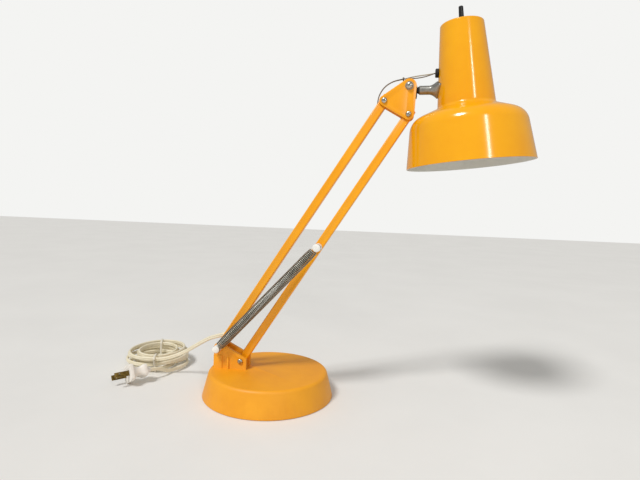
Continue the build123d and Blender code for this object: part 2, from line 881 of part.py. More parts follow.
with BuildPart() as centre_contact:
    with BuildSketch(shade_level(bore_top - contact_thickness - fit_gap)):
        Circle(contact_radius)
    extrude(amount=contact_thickness)
save(centre_contact.part, "centre_contact")

with BuildPart() as switch_nipple:
    with BuildSketch(shade_level(holder_top - nipple_bite)):
        Circle(nipple_radius)
        Circle(nipple_bore_radius, mode=Mode.SUBTRACT)
    extrude(amount=nipple_bite + holder_cap_gap + shade_wall + ring_nut_height)
save(switch_nipple.part, "switch_nipple")

with BuildPart() as ring_nut:
    with BuildSketch(shade_level(shade_height)):
        Circle(ring_nut_radius)
        Circle(nipple_radius + fit_gap, mode=Mode.SUBTRACT)
    extrude(amount=ring_nut_height)
save(ring_nut.part, "ring_nut")

# Switch knob: a slim tapered cap on the shaft that goes down through the nipple
knob_foot = shade_height + ring_nut_height + run_gap
with BuildPart() as switch_knob:
    with BuildSketch(shade_plane):
        with BuildLine():
            FilletPolyline(
                (0, knob_foot - shaft_length),
                (shaft_radius, knob_foot - shaft_length),
                (shaft_radius, knob_foot),
                (knob_radius, knob_foot),
                (knob_top_radius, knob_foot + knob_height),
                (0, knob_foot + knob_height),
                radius=(0, 0, 0, knob_round),
            )
            Line((0, knob_foot + knob_height), (0, knob_foot - shaft_length))
        make_face()
    revolve(axis=shade_line)
save(switch_knob.part, "switch_knob")


def corner_radii(points):
    # Each bend is as large as its two runs allow.
    radii = []
    for before, corner, after in zip(points, points[1:], points[2:]):
        run_in = corner - before
        run_out = after - corner
        half_turn = math.radians(run_in.get_angle(run_out)) / 2
        radii.append(arc_share * min(run_in.length, run_out.length) / math.tan(half_turn))
    return radii


def lead_tube(points, radius, name):
    radii = corner_radii(points)
    with BuildPart() as tube:
        with BuildLine() as route:
            FilletPolyline(*points, radius=radii)
        with BuildSketch(Plane(origin=points[0], z_dir=points[1] - points[0])):
            Circle(radius)
        sweep(path=route.line)
    length = sum(edge.length for edge in route.edges())
    filled = tube.part.volume / (math.pi * radius * radius * length)
    print(name, "length", round(length, 1), "radii", [round(r, 1) for r in radii], "fill", round(filled, 3))
    return tube.part


# Lead inside the rear arm, from the cord's bush to the slot near the top
arm_lead_points = (
    cord_inside,
    lead_inside,
    lead_skin,
)
save(lead_tube(arm_lead_points, lead_radius, "arm_lead"), "arm_lead")

# Thin twin lead from the rear arm over the head plates to the neck's grommet
grommet_mouth = neck_side_plane(grommet_place).origin - along(stem_rise) * (seat_gap + grommet_outer)
head_lead_points = (
    lead_skin,
    lead_skin + lead_heading * lead_exit_run,
    tilt_pivot + Vector(-32.6, 0, -6.5),
    tilt_pivot + Vector(-27.5, 0, 0.8),
    tilt_pivot + Vector(-19.5, 0, 6.0),
    tilt_pivot + Vector(-11.5, 0, 8.2),
    tilt_pivot + Vector(-1.5, 0, 9.9),
    tilt_pivot + Vector(11.5, 0, 11.6),
    tilt_pivot + Vector(20.5, 0, 13.2),
    grommet_mouth,
)
save(lead_tube(head_lead_points, lead_radius, "head_lead"), "head_lead")

tie_middle = (head_lead_points[5] + head_lead_points[6]) / 2
tie_heading = (head_lead_points[6] - head_lead_points[5]).normalized()
with BuildPart() as lead_tie:
    with BuildSketch(Plane(origin=tie_middle - tie_heading * (tie_width / 2), z_dir=tie_heading)):
        Circle(lead_radius + run_gap + tie_wall)
        Circle(lead_radius + run_gap, mode=Mode.SUBTRACT)
    extrude(amount=tie_width)
save(lead_tie.part, "lead_tie")

# Cord: a free run from the rear arm, piled loops, and a short run to the plug
coil_floor = cord_radius + 2 * coil_tie_radius + coil_tie_gap
coil_centre = Vector(coil_x, coil_y, coil_floor)
coil_inner_radius = coil_outer_radius - coil_step * coil_layer_turns
coil_turns = coil_layers * coil_layer_turns + (coil_layers - 1) / 2


def coil_place(turns):
    # Radius and height after a number of turns from the top: spiral in, climb down, spiral out.
    layer_stride = coil_layer_turns + 1 / 2
    layer = min(int(turns / layer_stride), coil_layers - 1)
    within = turns - layer * layer_stride
    share = min(within / coil_layer_turns, 1)
    inward = layer % 2 == 0
    span = coil_outer_radius - coil_inner_radius
    radius = coil_outer_radius - span * share if inward else coil_inner_radius + span * share
    climb_share = max(0, within - coil_layer_turns) * 2
    ease = climb_share * climb_share * (3 - 2 * climb_share)
    height = coil_layer_height * (coil_layers - 1 - layer - ease)
    return radius, height


def coil_point(turns):
    radius, height = coil_place(turns)
    angle = math.radians(coil_start_angle - 360 * turns)
    return coil_centre + Vector(radius * math.cos(angle), radius * math.sin(angle), height)


coil_steps = math.ceil(coil_turn_steps * coil_turns)
coil_points = []
coil_headings = []
for step in range(coil_steps + 1):
    turns = coil_turns * step / coil_steps
    before = coil_point(max(0, turns - coil_nudge))
    after = coil_point(min(coil_turns, turns + coil_nudge))
    coil_points.append(coil_point(turns))
    coil_headings.append((after - before).normalized())
coil_entry = coil_points[0] - coil_headings[0] * (2 * cord_radius)
coil_leave = coil_points[-1] + coil_headings[-1] * (2 * cord_radius)

with BuildPart() as cord_coil:
    with BuildLine() as coil_line:
        Line(coil_entry, coil_points[0])
        coil_arcs = biarcs(coil_points, coil_headings)
        Line(coil_points[-1], coil_leave)
    with BuildSketch(Plane(origin=coil_entry, z_dir=coil_headings[0])):
        Circle(cord_radius)
    sweep(path=coil_line.line)
save(cord_coil.part, "cord_coil")
coil_length = sum(edge.length for edge in coil_line.edges())
coil_gap = least_gap(coil_arcs, 2 * cord_radius, gap_samples)
print("coil: length", round(coil_length, 1), "least gap", round(coil_gap, 2))

cord_lead_points = (
    bush_end,
    bush_end + cord_heading * lead_run,
    Vector(-80.5, 6.5, 61.4),
    Vector(-92.8, 14.5, 53.6),
    Vector(-106.2, 21.5, 44.6),
    Vector(-121.0, 27.0, 34.6),
    Vector(-137.0, 29.0, 26.4),
    coil_entry - coil_headings[0] * lead_run,
    coil_entry,
)
save(lead_tube(cord_lead_points, cord_radius, "cord_lead"), "cord_lead")

# Plug on the desk, rolled onto its flange's edge: finger flange, waist, heel and a short tail
plug_forward = Vector(math.cos(math.radians(plug_heading)), math.sin(math.radians(plug_heading)), 0)
roll_lift = math.sin(math.radians(plug_roll))
roll_level = math.cos(math.radians(plug_roll))
plug_across = Vector(-plug_forward.Y * roll_level, plug_forward.X * roll_level, roll_lift)
flange_drop_across = (plug_flange_width / 2 - plug_corner_radius) * roll_lift
flange_drop_up = (plug_flange_height / 2 - plug_corner_radius) * roll_level
plug_tail = Vector(plug_tail_x, plug_tail_y, flange_drop_across + flange_drop_up + plug_corner_radius)


def plug_plane(distance):
    # Plane square to the plug, at a distance in front of its tail.
    return Plane(origin=plug_tail + plug_forward * distance, x_dir=plug_across, z_dir=plug_forward)


heel_start = plug_tail_length
waist_start = heel_start + plug_heel_depth
flange_start = waist_start + plug_waist_length
plug_length = flange_start + plug_flange_depth
with BuildPart() as plug_body:
    with BuildSketch(plug_plane(waist_start)):
        RectangleRounded(plug_heel_width, plug_heel_height, plug_corner_radius)
    with BuildSketch(plug_plane(waist_start + plug_waist_length / 2)):
        RectangleRounded(plug_waist_width, plug_waist_height, plug_corner_radius)
    with BuildSketch(plug_plane(flange_start)):
        RectangleRounded(plug_flange_width, plug_flange_height, plug_corner_radius)
    loft()
    with BuildSketch(plug_plane(heel_start)):
        RectangleRounded(plug_heel_width, plug_heel_height, plug_corner_radius)
    extrude(amount=plug_heel_depth)
    with BuildSketch(plug_plane(flange_start)):
        RectangleRounded(plug_flange_width, plug_flange_height, plug_corner_radius)
    extrude(amount=plug_flange_depth)
    with BuildSketch(plug_plane(0)):
        Circle(plug_tail_radius)
    extrude(amount=heel_start)
    with BuildSketch(plug_plane(plug_length - blade_root)):
        with GridLocations(blade_spread, 0, 2, 1):
            Rectangle(blade_thickness + 2 * fit_gap, blade_width + 2 * fit_gap)
    extrude(amount=blade_root, mode=Mode.SUBTRACT)
save(plug_body.part, "plug_body")

with BuildPart() as plug_blades:
    with BuildSketch(plug_plane(plug_length - blade_root + fit_gap)):
        with GridLocations(blade_spread, 0, 2, 1):
            Rectangle(blade_thickness, blade_width)
    extrude(amount=blade_root + blade_length)
    hole_middle = plug_tail + plug_forward * (plug_length + blade_hole_place)
    with BuildSketch(Plane(origin=hole_middle - plug_across * blade_spread, z_dir=plug_across)):
        Circle(blade_hole_radius)
    extrude(amount=2 * blade_spread, mode=Mode.SUBTRACT)
save(plug_blades.part, "plug_blades")

cord_tail_points = (
    coil_leave,
    coil_leave + coil_headings[-1] * tail_run,
    plug_tail - plug_forward * tail_run,
    plug_tail,
)
save(lead_tube(cord_tail_points, cord_radius, "cord_tail"), "cord_tail")

# Ties: a closed loop of covered wire round the bundle at two places
bundle_width = coil_outer_radius - coil_inner_radius + 2 * (cord_radius + coil_tie_gap + coil_tie_radius)
bundle_height = (coil_layers - 1) * coil_layer_height + 2 * (cord_radius + coil_tie_gap + coil_tie_radius)
with BuildPart() as cord_ties:
    for tie_angle in coil_tie_angles:
        outward = Vector(math.cos(math.radians(tie_angle)), math.sin(math.radians(tie_angle)), 0)
        around = Vector(-outward.Y, outward.X, 0)
        middle = coil_centre + outward * ((coil_outer_radius + coil_inner_radius) / 2)
        middle += Vector(0, 0, (coil_layers - 1) * coil_layer_height / 2)
        with BuildLine(Plane(origin=middle, x_dir=outward, z_dir=around)) as tie_loop:
            FilletPolyline(
                (-bundle_width / 2, -bundle_height / 2),
                (bundle_width / 2, -bundle_height / 2),
                (bundle_width / 2, bundle_height / 2),
                (-bundle_width / 2, bundle_height / 2),
                radius=coil_tie_corner,
                close=True,
            )
        tie_wire = tie_loop.wire()
        with BuildSketch(Plane(origin=tie_wire @ 0, z_dir=tie_wire % 0)):
            Circle(coil_tie_radius)
        sweep(path=tie_wire)
save(cord_ties.part, "cord_ties")
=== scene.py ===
import json
import math
import bpy
from mathutils import Matrix, Vector


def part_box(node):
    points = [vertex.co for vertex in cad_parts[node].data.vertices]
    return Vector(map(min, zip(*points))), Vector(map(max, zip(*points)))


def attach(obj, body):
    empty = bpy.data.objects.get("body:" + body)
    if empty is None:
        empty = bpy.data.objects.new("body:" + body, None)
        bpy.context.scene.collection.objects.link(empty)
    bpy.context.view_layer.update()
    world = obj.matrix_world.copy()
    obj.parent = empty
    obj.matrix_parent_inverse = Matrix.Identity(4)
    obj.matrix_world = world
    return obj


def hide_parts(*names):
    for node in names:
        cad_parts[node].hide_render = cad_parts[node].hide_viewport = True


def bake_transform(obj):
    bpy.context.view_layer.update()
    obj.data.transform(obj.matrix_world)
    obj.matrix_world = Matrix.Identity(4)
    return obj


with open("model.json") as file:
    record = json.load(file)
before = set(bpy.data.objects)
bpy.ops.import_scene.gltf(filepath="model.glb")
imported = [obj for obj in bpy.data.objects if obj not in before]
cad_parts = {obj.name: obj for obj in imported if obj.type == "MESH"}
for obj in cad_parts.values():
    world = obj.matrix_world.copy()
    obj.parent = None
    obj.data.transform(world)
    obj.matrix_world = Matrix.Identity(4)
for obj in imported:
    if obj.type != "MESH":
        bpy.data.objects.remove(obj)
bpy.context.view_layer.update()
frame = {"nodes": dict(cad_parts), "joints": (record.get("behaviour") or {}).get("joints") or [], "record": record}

mm = 0.001
scene = bpy.context.scene
nodes = frame["nodes"]
record = frame["record"]
joints = {joint["name"]: joint for joint in frame["joints"]}
bodyOf = {node: body for body, members in record["behaviour"]["bodies"].items() for node in members}


def jointPlace(name):
    return Vector(joints[name]["pos_m"])


def jointAxis(name):
    return Vector(joints[name]["axis"]).normalized()


# Pivots of the linkage as packed, in metres; the near side faces the camera
rearLow = jointPlace("arm_lift")
frontLow = jointPlace("front_arm_swing")
rearTop = jointPlace("head_level")
frontTop = frontLow + rearTop - rearLow
tiltBolt = jointPlace("head_tilt")
springTop = (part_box("spring_upper_spool")[0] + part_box("spring_upper_spool")[1]) / 2
nearSide = Vector((0, -1, 0))


# Colours are written as sRGB hex and used as linear values
def hexColour(code):
    channels = [int(code[place:place + 2], 16) / 255 for place in (1, 3, 5)]
    linear = [c / 12.92 if c <= 0.04045 else ((c + 0.055) / 1.055) ** 2.4 for c in channels]
    return (*linear, 1)


# Adds one node with its settings, and links its inputs from other nodes' outputs
def addNode(tree, kind, settings=None, links=None):
    node = tree.nodes.new(kind)
    for name, value in (settings or {}).items():
        node.inputs[name].default_value = value
    for name, output in (links or {}).items():
        tree.links.new(output, node.inputs[name])
    return node


# What all finishes share: IOR of paints and plastics, cloudy patches, the bump's depth in millimetres
pattern = {
    "ior": 1.5,
    "cloudDetail": 4,
    "cloudRoughness": 0.6,
    "tones": (0.35, 0.65),
    "grainDetail": 2,
    "grainRoughness": 0.5,
    "bumpDepth": 0.1,
}


# Surface of one finish: two close colours mixed by a cloudy pattern, uneven gloss and a fine bump.
# cloud and grain are the sizes, in millimetres, of the colour patches and of the bump.
def surface(name, colours, roughness, cloud, grain, bump, metallic=0, coat=0, sheen=0):
    material = bpy.data.materials.new(name)
    material.use_nodes = True
    tree = material.node_tree
    shader = tree.nodes["Principled BSDF"]
    shader.inputs["Metallic"].default_value = metallic
    shader.inputs["IOR"].default_value = pattern["ior"]
    shader.inputs["Coat Weight"].default_value = coat
    shader.inputs["Sheen Weight"].default_value = sheen
    place = addNode(tree, "ShaderNodeTexCoord")
    patches = addNode(
        tree, "ShaderNodeTexNoise",
        {
            "Scale": 1 / (cloud * mm),
            "Detail": pattern["cloudDetail"],
            "Roughness": pattern["cloudRoughness"],
        },
        {"Vector": place.outputs["Object"]},
    )
    tones = addNode(tree, "ShaderNodeValToRGB", links={"Fac": patches.outputs["Fac"]})
    for stop, share, colour in zip(tones.color_ramp.elements, pattern["tones"], colours):
        stop.position = share
        stop.color = hexColour(colour)
    tree.links.new(tones.outputs["Color"], shader.inputs["Base Color"])
    gloss = addNode(
        tree, "ShaderNodeMapRange", {"To Min": roughness[0], "To Max": roughness[1]},
        {"Value": patches.outputs["Fac"]},
    )
    tree.links.new(gloss.outputs["Result"], shader.inputs["Roughness"])
    fine = addNode(
        tree, "ShaderNodeTexNoise",
        {
            "Scale": 1 / (grain * mm),
            "Detail": pattern["grainDetail"],
            "Roughness": pattern["grainRoughness"],
        },
        {"Vector": place.outputs["Object"]},
    )
    relief = addNode(
        tree, "ShaderNodeBump", {"Strength": bump, "Distance": pattern["bumpDepth"] * mm},
        {"Height": fine.outputs["Fac"]},
    )
    tree.links.new(relief.outputs["Normal"], shader.inputs["Normal"])
    return material


# Stoved gloss enamel on spun sheet: wet shine, a trace of orange peel
shadeEnamel = surface(
    "glossEnamelOnSpunSheet", ("#F0A204", "#F5AB07"), (0.12, 0.18),
    cloud=60, grain=3.2, bump=0.03, coat=0.1,
)
# White stoved enamel inside the shade, duller than the outside; its white is greyed a little as painted shade in
# the shade's hollow
liningEnamelGreyedAsShade = surface(
    "whiteEnamelGreyedAsPaintedShade", ("#D2D0C7", "#DEDCD4"), (0.35, 0.45), cloud=40, grain=2.5, bump=0.05,
)
# Semi-gloss enamel on drawn tube and pressed plate: a soft, broad shine
frameEnamel = surface(
    "semiGlossEnamelOnSteel", ("#F3A008", "#F9A90D"), (0.24, 0.34), cloud=35, grain=1.6, bump=0.05,
)
# Moulded polystyrene with a spark-eroded grain: nearly matte.
# The grain is drawn a little coarser than life so that it shows.
basePlastic = surface(
    "grainedMouldedPlastic", ("#EA9A12", "#F2A418"), (0.42, 0.55), cloud=45, grain=0.7, bump=0.2,
)
# Sand-cast iron: dark, dull and pitted
castIron = surface(
    "roughCastIron", ("#33322F", "#43413D"), (0.7, 0.85), cloud=12, grain=1.4, bump=0.6, metallic=0.6,
)
# Pressed wool felt: no shine, a pale edge where light grazes its fibres
feltPad = surface(
    "pressedWoolFelt", ("#20211F", "#2C2D2A"), (0.95, 1.0), cloud=5, grain=0.5, bump=0.8, sheen=0.4,
)
# Zinc plate on turned steel: bright and faintly clouded
zincSteel = surface(
    "zincPlatedSteel", ("#A9A79F", "#C9C7C0"), (0.24, 0.38), cloud=4, grain=0.5, bump=0.08, metallic=1,
)
# Drawn spring wire: grey metal with a thin gleam on each turn
springSteel = surface(
    "brightDrawnSpringWire", ("#8B887D", "#A7A499"), (0.32, 0.44),
    cloud=9, grain=0.4, bump=0.08, metallic=1,
)
# Turned nylon: white with a waxy gloss
whiteNylon = surface(
    "turnedWhiteNylon", ("#E6E4DC", "#F4F2EC"), (0.4, 0.5), cloud=6, grain=0.6, bump=0.06,
)
# Tumbled zinc casting: mid grey with an uneven, soft shine
greyCasting = surface(
    "tumbledZincCasting", ("#8A8882", "#A3A19A"), (0.3, 0.46),
    cloud=7, grain=0.5, bump=0.16, metallic=0.85,
)
# Oil-blackened steel: near black with a dull gleam
blackSteel = surface(
    "blackenedSteel", ("#1B1A18", "#272623"), (0.4, 0.55), cloud=6, grain=0.5, bump=0.15, metallic=0.7,
)
# Moulded phenolic: deep black with a clear gloss
blackPhenolic = surface(
    "mouldedBlackPhenolic", ("#0D0D0D", "#161515"), (0.28, 0.4), cloud=10, grain=0.8, bump=0.08,
)
# Moulded rubber: black and dull
blackRubber = surface(
    "mouldedBlackRubber", ("#0C0C0C", "#151515"), (0.6, 0.75), cloud=6, grain=0.5, bump=0.2,
)
# Brass browned by age: dark gold with little shine
agedBrass = surface(
    "tarnishedBrass", ("#6A5628", "#866E36"), (0.35, 0.55), cloud=3, grain=0.4, bump=0.12, metallic=0.9,
)
# Extruded vinyl on the cord: smooth cream with a soft gloss
creamVinyl = surface(
    "creamVinylCord", ("#E3D8BA", "#ECE3CA"), (0.34, 0.46), cloud=18, grain=0.8, bump=0.06,
)
# Moulded vinyl on the plug: paler and duller than the cord
paleVinyl = surface(
    "mouldedPaleVinyl", ("#E6DFD4", "#F0EAE1"), (0.4, 0.52), cloud=9, grain=0.7, bump=0.08,
)
# Extruded vinyl on the thin lead, both satin: the beige is the lead's own colour, the brown copy of it is painted
# shade
shadedLeadVinyl = surface(
    "leadVinylPaintedShade", ("#6A5F4F", "#83786A"), (0.42, 0.55), cloud=8, grain=0.5, bump=0.1,
)
paleLeadVinyl = surface(
    "beigeVinylLead", ("#A89C84", "#BDB29B"), (0.42, 0.55), cloud=8, grain=0.5, bump=0.1,
)
# Paper over wire on the cord's ties: pale, matte and slightly creased
tiePaper = surface(
    "paperCoveredTieWire", ("#D8D0BC", "#E8E1D0"), (0.55, 0.7), cloud=3, grain=0.4, bump=0.2,
)
print("finishes ready")


def deselectAll():
    if bpy.context.object and bpy.context.object.mode != "OBJECT":
        bpy.ops.object.mode_set(mode="OBJECT")
    bpy.ops.object.select_all(action="DESELECT")


def pickOnly(piece):
    deselectAll()
    piece.select_set(True)
    bpy.context.view_layer.objects.active = piece


def applyModifier(piece, kind, **settings):
    pickOnly(piece)
    modifier = piece.modifiers.new(kind.lower(), kind)
    for name, value in settings.items():
        setattr(modifier, name, value)
    bpy.ops.object.modifier_apply(modifier=modifier.name)


def smoothBy(piece, angle):
    pickOnly(piece)
    bpy.ops.object.shade_smooth_by_angle(angle=math.radians(angle))


# Puts a finished piece in the place of CAD nodes: their body and a finish
def dress(piece, finish, *replaced):
    piece.data.materials.clear()
    piece.data.materials.append(finish)
    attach(piece, bodyOf[replaced[0]])
    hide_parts(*replaced)
    return piece


# Points closer than this, in millimetres, are merged in packed and in turned pieces
weld = {"packed": 0.005, "turned": 0.002}
# Faces within the flat angle become one; edges sharper than the corner angle are eased
easing = {"flatAngle": 0.5, "cornerAngle": 38, "segments": 2}


# Copy of a CAD node with its triangles merged and its corners eased
def easedCopy(name, node, ease):
    piece = bpy.data.objects.new(name, nodes[node].data.copy())
    scene.collection.objects.link(piece)
    pickOnly(piece)
    bpy.ops.mesh.customdata_custom_splitnormals_clear()
    bpy.ops.object.mode_set(mode="EDIT")
    bpy.ops.mesh.select_all(action="SELECT")
    bpy.ops.mesh.remove_doubles(threshold=weld["packed"] * mm)
    bpy.ops.mesh.dissolve_limited(angle_limit=math.radians(easing["flatAngle"]))
    bpy.ops.object.mode_set(mode="OBJECT")
    applyModifier(
        piece, "BEVEL", width=ease * mm, segments=easing["segments"], limit_method="ANGLE",
        angle_limit=math.radians(easing["cornerAngle"]), use_clamp_overlap=True,
    )
    smoothBy(piece, easing["cornerAngle"])
    return piece


# Points of an outline with its inner corners rounded; radii has one value for each inner corner
def roundedOutline(points, radii, steps):
    outline = [Vector(points[0])]
    for before, corner, after, radius in zip(points, points[1:], points[2:], radii):
        corner = Vector(corner)
        into = (corner - Vector(before)).normalized()
        out = (Vector(after) - corner).normalized()
        turn = into.angle(out)
        reach = radius * math.tan(turn / 2)
        start = corner - into * reach
        side = 1 if into.x * out.y - into.y * out.x > 0 else -1
        centre = start + Vector((-into.y, into.x)) * side * radius
        spoke = start - centre
        for step in range(steps + 1):
            angle = side * turn * step / steps
            outline.append(centre + Matrix.Rotation(angle, 2) @ spoke)
    outline.append(Vector(points[-1]))
    return outline


# Quarter round over a turned face: points of (radius, height) from its edge up to its middle
def domeProfile(radius, foot, rise, steps):
    angles = [math.pi / 2 * step / steps for step in range(steps + 1)]
    return [(radius * math.cos(angle), foot + rise * math.sin(angle)) for angle in angles]


# Turned piece: a vertex is drawn along a profile of (radius, height) in millimetres, then spun
def turned(name, profile, origin, axis, steps, smooth):
    deselectAll()
    bpy.ops.mesh.primitive_plane_add(size=mm)
    piece = bpy.context.object
    piece.name = name
    bpy.ops.object.mode_set(mode="EDIT")
    bpy.ops.mesh.select_all(action="SELECT")
    bpy.ops.mesh.merge(type="CENTER")
    bpy.ops.transform.translate(value=(profile[0][0] * mm, 0, profile[0][1] * mm))
    for before, after in zip(profile, profile[1:]):
        step = ((after[0] - before[0]) * mm, 0, (after[1] - before[1]) * mm)
        bpy.ops.mesh.extrude_region_move(TRANSFORM_OT_translate={"value": step})
    bpy.ops.mesh.select_all(action="SELECT")
    bpy.ops.mesh.spin(steps=steps, angle=math.tau, center=(0, 0, 0), axis=(0, 0, 1))
    bpy.ops.mesh.select_all(action="SELECT")
    bpy.ops.mesh.remove_doubles(threshold=weld["turned"] * mm)
    bpy.ops.mesh.normals_make_consistent(inside=False)
    bpy.ops.object.mode_set(mode="OBJECT")
    turn = Vector((0, 0, 1)).rotation_difference(axis).to_matrix().to_4x4()
    piece.data.transform(Matrix.Translation(origin) @ turn)
    smoothBy(piece, smooth)
    return piece


# Fineness of a round wire and the angle up to which it is shaded smooth
wires = {"sides": 3, "smooth": 40}


# Wire along straight steps, round with a radius or shaped by a section, made into a mesh
def wireMesh(name, points, radius=None, section=None, closed=False):
    curve = bpy.data.curves.new(name + "Line", "CURVE")
    curve.dimensions = "3D"
    curve.twist_mode = "Z_UP"
    spline = curve.splines.new("POLY")
    spline.points.add(len(points) - 1)
    for point, place in zip(spline.points, points):
        point.co = (*place, 1)
    spline.use_cyclic_u = closed
    curve.use_fill_caps = not closed
    if section:
        curve.bevel_mode = "OBJECT"
        curve.bevel_object = section
    else:
        curve.bevel_depth = radius
        curve.bevel_resolution = wires["sides"]
    holder = bpy.data.objects.new(name + "Line", curve)
    scene.collection.objects.link(holder)
    pickOnly(holder)
    bpy.ops.object.convert(target="MESH")
    piece = bpy.context.object
    piece.name = name
    smoothBy(piece, wires["smooth"])
    return piece


# Points along a NURBS line through these control points
def nurbsPoints(points, resolution):
    curve = bpy.data.curves.new("route", "CURVE")
    curve.dimensions = "3D"
    spline = curve.splines.new("NURBS")
    spline.points.add(len(points) - 1)
    for point, place in zip(spline.points, points):
        point.co = (*place, 1)
    spline.order_u = 3
    spline.use_endpoint_u = True
    spline.resolution_u = resolution
    holder = bpy.data.objects.new("route", curve)
    scene.collection.objects.link(holder)
    bpy.context.view_layer.update()
    drawn = holder.evaluated_get(bpy.context.evaluated_depsgraph_get())
    mesh = bpy.data.meshes.new_from_object(drawn)
    line = [vertex.co.copy() for vertex in mesh.vertices]
    bpy.data.objects.remove(holder)
    bpy.data.meshes.remove(mesh)
    return line


def joined(name, pieces):
    deselectAll()
    for piece in pieces:
        piece.select_set(True)
    bpy.context.view_layer.objects.active = pieces[0]
    bpy.ops.object.join()
    pieces[0].name = name
    return pieces[0]


# Camera, from the photograph's solved view; place in millimetres, angles in degrees
view = {
    "lens": 27.168,
    "sensor": 36,
    "nearClip": 0.01,
    "place": (144.354, -572.364, 235.856),
    "heading": -8.488,
    "pitch": 4.139,
    "roll": 2.035,
}
heading = math.radians(view["heading"])
pitch = math.radians(view["pitch"])
roll = math.radians(view["roll"])
level = Vector((math.cos(heading), -math.sin(heading), 0))
forward = Vector(
    (math.sin(heading) * math.cos(pitch), math.cos(heading) * math.cos(pitch), -math.sin(pitch))
)
upward = level.cross(forward)
across = level * math.cos(roll) + upward * math.sin(roll)
upright = upward * math.cos(roll) - level * math.sin(roll)
cameraData = bpy.data.cameras.new("camera")
cameraData.sensor_fit = "HORIZONTAL"
cameraData.sensor_width = view["sensor"]
cameraData.lens = view["lens"]
cameraData.clip_start = view["nearClip"]
camera = bpy.data.objects.new("camera", cameraData)
camera.matrix_world = Matrix(
    (
        (across.x, upright.x, -forward.x, view["place"][0] * mm),
        (across.y, upright.y, -forward.y, view["place"][1] * mm),
        (across.z, upright.z, -forward.z, view["place"][2] * mm),
        (0, 0, 0, 1),
    )
)
scene.collection.objects.link(camera)
scene.camera = camera
print("camera set")

# Cord: free run from the rear arm, piled loops, short run to the plug; millimetres and degrees
cord = {
    "lead": (
        (-80.5, 6.5, 61.4), (-92.8, 14.5, 53.6), (-106.2, 21.5, 44.6), (-121.0, 27.0, 34.6),
        (-137.0, 29.0, 26.4),
    ),
    "entryPlace": 18.8,
    "entryDrop": 16.0,
    "armHalf": 5.0,
    "bushProud": 0.4,
    "leadRun": 12.0,
    "tailRun": 12.0,
    "radius": 2.5,
    "lobeRadius": 1.55,
    "lobeSpread": 1.0,
    "lobeSteps": 8,
    "centre": (-178.0, 67.0),
    "floor": 4.4,
    "outerRadius": 43.5,
    "step": 12.3,
    "layerTurns": 1.5903,
    "climbTurns": 0.5,
    "layers": 4,
    "layerHeight": 5.6,
    "startAngle": -80.0,
    "turnPoints": 24,
    "lineSteps": 4,
    "plugTail": (-160.3, 5.2, 13.776),
    "plugHeading": 230.0,
    "shift": ((0.1, 1.3), (-6.0, 2.5), (-0.6, 3.3), (-5.5, -3.0)),
    "oval": (-0.093, -0.015, 0.039, -0.047),
    "ovalAngle": (177.0, 66.0, 17.0, 18.0),
    "lift": ((-0.6, -0.1), (-0.04, 0.21), (-0.14, -0.5), (0, 0)),
    "settle": 0.35,
    "nudge": 0.001,
}
armAxis = (rearTop - rearLow).normalized()
armBack = Vector((-armAxis.z, 0, armAxis.x))
drop = math.radians(cord["entryDrop"])
exitHeading = Vector((-math.cos(drop), 0, -math.sin(drop)))
cordInside = rearLow + armAxis * cord["entryPlace"] * mm
cordSkin = cordInside + exitHeading * (cord["armHalf"] * mm / exitHeading.dot(armBack))
cordExit = cordSkin + exitHeading * cord["bushProud"] * mm
innerRadius = cord["outerRadius"] - cord["step"] * cord["layerTurns"]
coilTurns = cord["layers"] * cord["layerTurns"] + (cord["layers"] - 1) * cord["climbTurns"]


# Share of a change that starts and ends gently
def gentle(share):
    return share * share * (3 - 2 * share)


# Each layer of loops lies off the middle, oval and a little tipped; the first and last loops settle in
def coilPoint(turns):
    stride = cord["layerTurns"] + cord["climbTurns"]
    layer = min(int(turns / stride), cord["layers"] - 1)
    below = min(layer + 1, cord["layers"] - 1)
    within = turns - layer * stride
    share = min(within / cord["layerTurns"], 1)
    if layer % 2:
        share = 1 - share
    radius = cord["outerRadius"] + (innerRadius - cord["outerRadius"]) * share
    ease = gentle(max(0, within - cord["layerTurns"]) / cord["climbTurns"])

    def between(values):
        return values[layer] + (values[below] - values[layer]) * ease

    angle = math.radians(cord["startAngle"]) - math.tau * turns
    loose = gentle(min(1, turns / cord["settle"], (coilTurns - turns) / cord["settle"]))
    fromLongSide = angle - math.radians(between(cord["ovalAngle"]))
    radius *= 1 + loose * between(cord["oval"]) * math.cos(2 * fromLongSide)
    shift = between([Vector(pair) for pair in cord["shift"]]) * loose
    lift = between([Vector(pair) for pair in cord["lift"]]) * loose
    place = Vector((radius * math.cos(angle), radius * math.sin(angle)))
    height = cord["floor"] + cord["layerHeight"] * (cord["layers"] - 1 - layer - ease)
    height += lift.x * math.cos(angle) + lift.y * math.sin(angle)
    middle = cord["centre"]
    return Vector((middle[0] + place.x + shift.x, middle[1] + place.y + shift.y, height)) * mm


coilSteps = math.ceil(coilTurns * cord["turnPoints"])
coilPoints = [coilPoint(coilTurns * step / coilSteps) for step in range(coilSteps + 1)]
entryHeading = (coilPoint(cord["nudge"]) - coilPoint(0)).normalized()
leaveHeading = (coilPoint(coilTurns) - coilPoint(coilTurns - cord["nudge"])).normalized()
coilEntry = coilPoints[0] - entryHeading * 2 * cord["radius"] * mm
coilLeave = coilPoints[-1] + leaveHeading * 2 * cord["radius"] * mm
plugTail = Vector(cord["plugTail"]) * mm
plugAngle = math.radians(cord["plugHeading"])
plugForward = Vector((math.cos(plugAngle), math.sin(plugAngle), 0))
cordRoute = [cordExit, cordExit + exitHeading * cord["leadRun"] * mm]
cordRoute += [Vector(place) * mm for place in cord["lead"]]
cordRoute += [coilEntry - entryHeading * cord["leadRun"] * mm, coilEntry]
cordRoute += coilPoints
cordRoute += [coilLeave, coilLeave + leaveHeading * cord["tailRun"] * mm]
cordRoute += [plugTail - plugForward * cord["tailRun"] * mm, plugTail]
cordLine = nurbsPoints(cordRoute, cord["lineSteps"])


